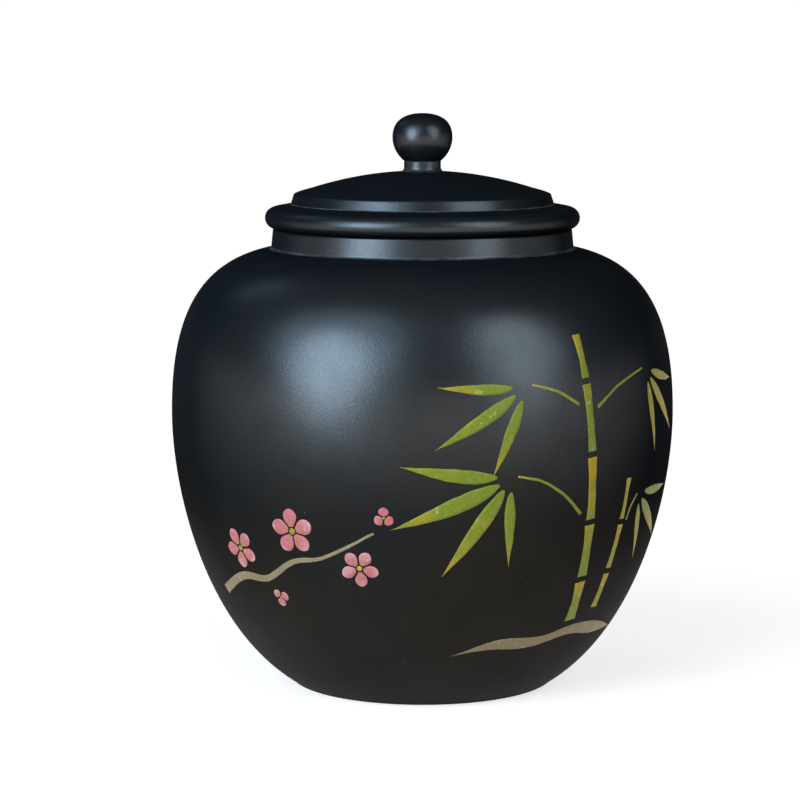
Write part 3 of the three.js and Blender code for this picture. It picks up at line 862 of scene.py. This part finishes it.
def burnished_clay():
    """Black clay rubbed with a stone: satin, with fine upright marks, a slow drift from cool to warm, and a
    pale line in hollow corners that is partly a painted highlight.
    """
    material, tree, surface = shader("burnished_clay")
    place = add(tree, "TexCoord", {}).outputs["Object"]
    height = add(tree, "SeparateXYZ", {"Vector": place}).outputs["Z"]

    warmth = ranged(tree, height, *WARM_HEIGHTS, 1, 0)
    stray = ranged(tree, cloud(tree, place, WARM_SCALE), *NOISE_SPAN, -WARM_STRAY, WARM_STRAY)
    clay = mixed(tree, maths(tree, "ADD", warmth, stray), srgb(*COOL_CLAY), srgb(*WARM_CLAY))
    # Pale line in hollow corners: partly clay the stone missed, partly a painted highlight
    unrubbed_and_sheen = add(tree, "Attribute", {}, attribute_name="unrubbed_and_sheen").outputs["Fac"]
    patches = ranged(tree, cloud(tree, place, UNRUBBED_AND_SHEEN_SCALE), *UNRUBBED_AND_SHEEN_SPAN, *UNRUBBED_AND_SHEEN_SHARES)
    clay = mixed(tree, maths(tree, "MULTIPLY", unrubbed_and_sheen, patches), clay, srgb(*UNRUBBED_AND_SHEEN_CLAY))
    cells = add(tree, "TexVoronoi", {"Vector": place, "Scale": SPECK_SCALE}).outputs
    dots = maths(tree, "LESS_THAN", cells["Distance"], SPECK_SIZE)
    lot = add(tree, "SeparateColor", {"Color": cells["Color"]}).outputs[0]
    specks = maths(tree, "MULTIPLY", dots, maths(tree, "GREATER_THAN", lot, SPECK_RARITY))
    plug(tree, surface.inputs["Base Color"], mixed(tree, specks, clay, srgb(*SPECK_CLAY)))

    stretched = add(tree, "Mapping", {"Vector": place, "Scale": MARK_STRETCH}).outputs["Vector"]
    marks = cloud(tree, stretched, MARK_SCALE, detail=2)
    smears = cloud(tree, place, SMEAR_SCALE, detail=4)
    mark_roughness = ranged(tree, marks, *NOISE_SPAN, *MARK_ROUGHNESS)
    smear_roughness = ranged(tree, smears, *NOISE_SPAN, *SMEAR_ROUGHNESS)
    plug(tree, surface.inputs["Roughness"], maths(tree, "ADD", mark_roughness, smear_roughness))
    dents = dented(tree, marks, 1, MARK_DEPTH)
    plug(tree, surface.inputs["Normal"], dents)
    plug(tree, surface.inputs["Coat Normal"], dents)

    polish = eased(tree, height, *POLISH_HEIGHTS, *POLISH)
    facing = add(tree, "LayerWeight", {}).outputs["Facing"]
    rim = eased(tree, height, *RIM_HEIGHTS, *RIM_POLISH)
    for factor in (
        ranged(tree, height, *LID_HEIGHTS, *LID_POLISH),
        ranged(tree, smears, *NOISE_SPAN, *SMEAR_POLISH),
        ranged(tree, marks, *NOISE_SPAN, *MARK_POLISH),
        eased(tree, facing, 0, RIM_FACING, 1, rim),
    ):
        polish = maths(tree, "MULTIPLY", polish, factor)
    plug(tree, surface.inputs["Coat Weight"], polish)
    surface.inputs["Coat Roughness"].default_value = POLISH_ROUGHNESS
    surface.inputs["Coat IOR"].default_value = POLISH_IOR
    surface.inputs["Specular IOR Level"].default_value = 0
    return material


def bare_clay():
    """Black clay left as it came off the wheel: matte and gritty."""
    material, tree, surface = shader("bare_clay")
    place = add(tree, "TexCoord", {}).outputs["Object"]
    grit = cloud(tree, place, GRIT_SCALE, detail=4)
    drift = ranged(tree, cloud(tree, place, BARE_SCALE), *BARE_SPAN, 0, 1)
    clay = mixed(tree, drift, *(srgb(*colour) for colour in BARE_CLAY))
    clay = mixed(tree, ranged(tree, grit, *GRIT_SPAN, 0, GRIT_SHARE), clay, srgb(*GRIT_CLAY))
    plug(tree, surface.inputs["Base Color"], clay)
    plug(tree, surface.inputs["Roughness"], ranged(tree, grit, *NOISE_SPAN, *GRIT_ROUGHNESS))
    plug(tree, surface.inputs["Normal"], dented(tree, grit, GRIT_STRENGTH, GRIT_DEPTH))
    surface.inputs["Specular IOR Level"].default_value = BARE_GLOSS
    return material


def coloured_clay(name, root, tip, worn):
    """Coloured clay that shades from root to tip, with mottling, worn patches and a dark cut edge."""
    material, tree, surface = shader(name)
    place = add(tree, "TexCoord", {}).outputs["Object"]
    laid = add(tree, "Attribute", {}, attribute_name="laid").outputs["Color"]
    along, inside, tone = add(tree, "SeparateColor", {"Color": laid}).outputs
    mottle = cloud(tree, place, MOTTLE_SCALE, detail=4)
    drift = maths(tree, "ADD", along, ranged(tree, mottle, *NOISE_SPAN, *MOTTLE_STRAY))
    drift = maths(tree, "ADD", drift, ranged(tree, tone, 0, 1, *TONE_STRAY))
    shade = mixed(tree, ranged(tree, drift, *SHADE_SPAN, 0, 1), srgb(*root), srgb(*tip))
    patches = ranged(tree, cloud(tree, place, WORN_SCALE), *WORN_SPAN, 0, WORN_SHARE)
    shade = mixed(tree, patches, shade, srgb(*worn))
    scuffs = ranged(tree, cloud(tree, place, SCUFF_SCALE), *SCUFF_SPAN, 0, SCUFF_SHARE)
    shade = mixed(tree, scuffs, shade, srgb(*worn))
    shade = mixed(tree, ranged(tree, inside, *CUT_SPAN, 0, 1), srgb(*CUT_CLAY), shade)
    plug(tree, surface.inputs["Base Color"], shade)
    grain = cloud(tree, place, GRAIN_SCALE)
    plug(tree, surface.inputs["Roughness"], ranged(tree, grain, *NOISE_SPAN, *GRAIN_ROUGHNESS))
    plug(tree, surface.inputs["Normal"], dented(tree, grain, GRAIN_STRENGTH, GRAIN_DEPTH))
    surface.inputs["Specular IOR Level"].default_value = FILL_GLOSS
    return material


def silicone():
    """Soft grey rubber with a faint bloom."""
    material, tree, surface = shader("silicone")
    place = add(tree, "TexCoord", {}).outputs["Object"]
    bloom = cloud(tree, place, BLOOM_SCALE, detail=4)
    plug(tree, surface.inputs["Base Color"], mixed(tree, bloom, *(srgb(*colour) for colour in SILICONE)))
    plug(tree, surface.inputs["Roughness"], ranged(tree, bloom, *NOISE_SPAN, *BLOOM_ROUGHNESS))
    surface.inputs["Subsurface Weight"].default_value = SILICONE_SCATTER
    surface.inputs["Subsurface Radius"].default_value = SILICONE_REACH
    return material


def paper():
    """The floor: lit by the lamps near the object, and by itself further off."""
    material, tree, surface = shader("floor_paper")
    place = add(tree, "NewGeometry", {}).outputs["Position"]
    away = add(tree, "VectorMath", {"Vector": place}, operation="LENGTH").outputs["Value"]
    far = eased(tree, away, *FLOOR_FADE, 0, 1)
    ray = add(tree, "LightPath", {}).outputs
    seen = maths(tree, "ADD", ray["Is Camera Ray"], ray["Is Glossy Ray"])
    seen = maths(tree, "ADD", seen, ray["Is Transmission Ray"])
    glow = maths(tree, "MULTIPLY", seen, ranged(tree, far, 0, 1, *FLOOR_GLOW))
    plug(tree, surface.inputs["Emission Strength"], glow)
    surface.inputs["Emission Color"].default_value = (1, 1, 1, 1)
    plug(tree, surface.inputs["Base Color"], mixed(tree, far, FLOOR_COLOUR, FLOOR_FAR_COLOUR))
    surface.inputs["Roughness"].default_value = 1
    surface.inputs["Specular IOR Level"].default_value = 0
    return material


def lamp(name, azimuth, elevation, size, watts, colour):
    """A round soft box that looks at the jar. Azimuth 0 is in front of the picture and 90 to its right."""
    light = bpy.data.lights.new(name, "AREA")
    light.shape = "ELLIPSE"
    light.size, light.size_y = size
    light.energy = watts
    light.color = colour
    turn = math.radians(azimuth)
    rise = math.radians(elevation)
    away = Vector((math.sin(turn) * math.cos(rise), -math.cos(turn) * math.cos(rise), math.sin(rise)))
    made = bpy.data.objects.new(name, light)
    made.location = LAMP_AIM + away * LAMP_DISTANCE
    made.rotation_euler = away.to_track_quat("Z", "Y").to_euler()
    bpy.context.collection.objects.link(made)


def dressed(piece, node):
    """Puts a piece in the place of a solid, on the same body, and hides the solid."""
    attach(piece, BODY_OF[node])
    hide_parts(node)


def jar_finish(radius, height):
    """Burnished outside, bare inside and under the foot."""
    return int(height < FOOT_EDGE / 2 or radius < wall_radius(height) - WALL / 2)


def lid_finish(radius, height):
    """Burnished above the seat, bare on the plug and under the dome."""
    ceiling_z = DOME_CENTRE_Z + math.sqrt(CEILING_RADIUS**2 - min(radius, PLUG_BORE) ** 2)
    under_dome = radius < PLUG_BORE and height < ceiling_z + LID_THICKNESS / 2
    return int(under_dome or height < RIM_Z - SEAT_MARGIN)


burnished = burnished_clay()
bare = bare_clay()
dressed(lathe("jar", jar_profile(), ROUND_FACES, [burnished, bare], jar_finish), "jar_body")
dressed(lathe("jar_lid", lid_profile(), ROUND_FACES, [burnished, bare], lid_finish), "lid")
dressed(lathe("ball_knob", knob_profile(), KNOB_FACES, [burnished]), "lid_knob")
dressed(lathe("sealing_ring", seal_profile(), ROUND_FACES, [silicone()]), "seal_ring")

clays = {slot: coloured_clay(f"{slot}_fill", *colours) for slot, colours in CLAYS.items()}
noise.seed_set(CHANCE_SEED)
tones = random.Random(CHANCE_SEED)
for name, pads in picture_pads():
    fills = [clays[SLOT_OF[name]]]
    if name in BLOSSOMS:
        fills.append(clays["gold_clay"])
    dressed(inlay(f"{name}_fill", pads, fills, tones.random()), name)

# Floor with a raised rim, so that it fills the camera's view
floor_radius = FLOOR_RADIUS / MM
floor_lip = FLOOR_LIP / MM
floor_profile = [(0, 0), *((floor_radius * share, 0) for share in FLOOR_RINGS)]
floor_profile += arc((floor_radius, floor_lip), floor_lip, -90, 0)
floor = lathe("floor", floor_profile, FLOOR_FACES, [paper()])
floor.location.z = -FLOOR_DROP

for name, settings in LAMPS.items():
    lamp(name, *settings)

world = bpy.data.worlds.new("studio")
world.use_nodes = True
world.node_tree.nodes["Background"].inputs["Color"].default_value = WORLD_COLOUR
world.node_tree.nodes["Background"].inputs["Strength"].default_value = WORLD_STRENGTH
bpy.context.scene.world = world
bpy.context.scene.view_settings.view_transform = "Standard"

camera = bpy.data.objects.new("camera", bpy.data.cameras.new("camera"))
camera.data.lens = CAMERA_LENS
camera.location = CAMERA_PLACE
camera.rotation_euler = (math.radians(90 - CAMERA_PITCH), 0, math.radians(CAMERA_YAW))
bpy.context.collection.objects.link(camera)
bpy.context.scene.camera = camera
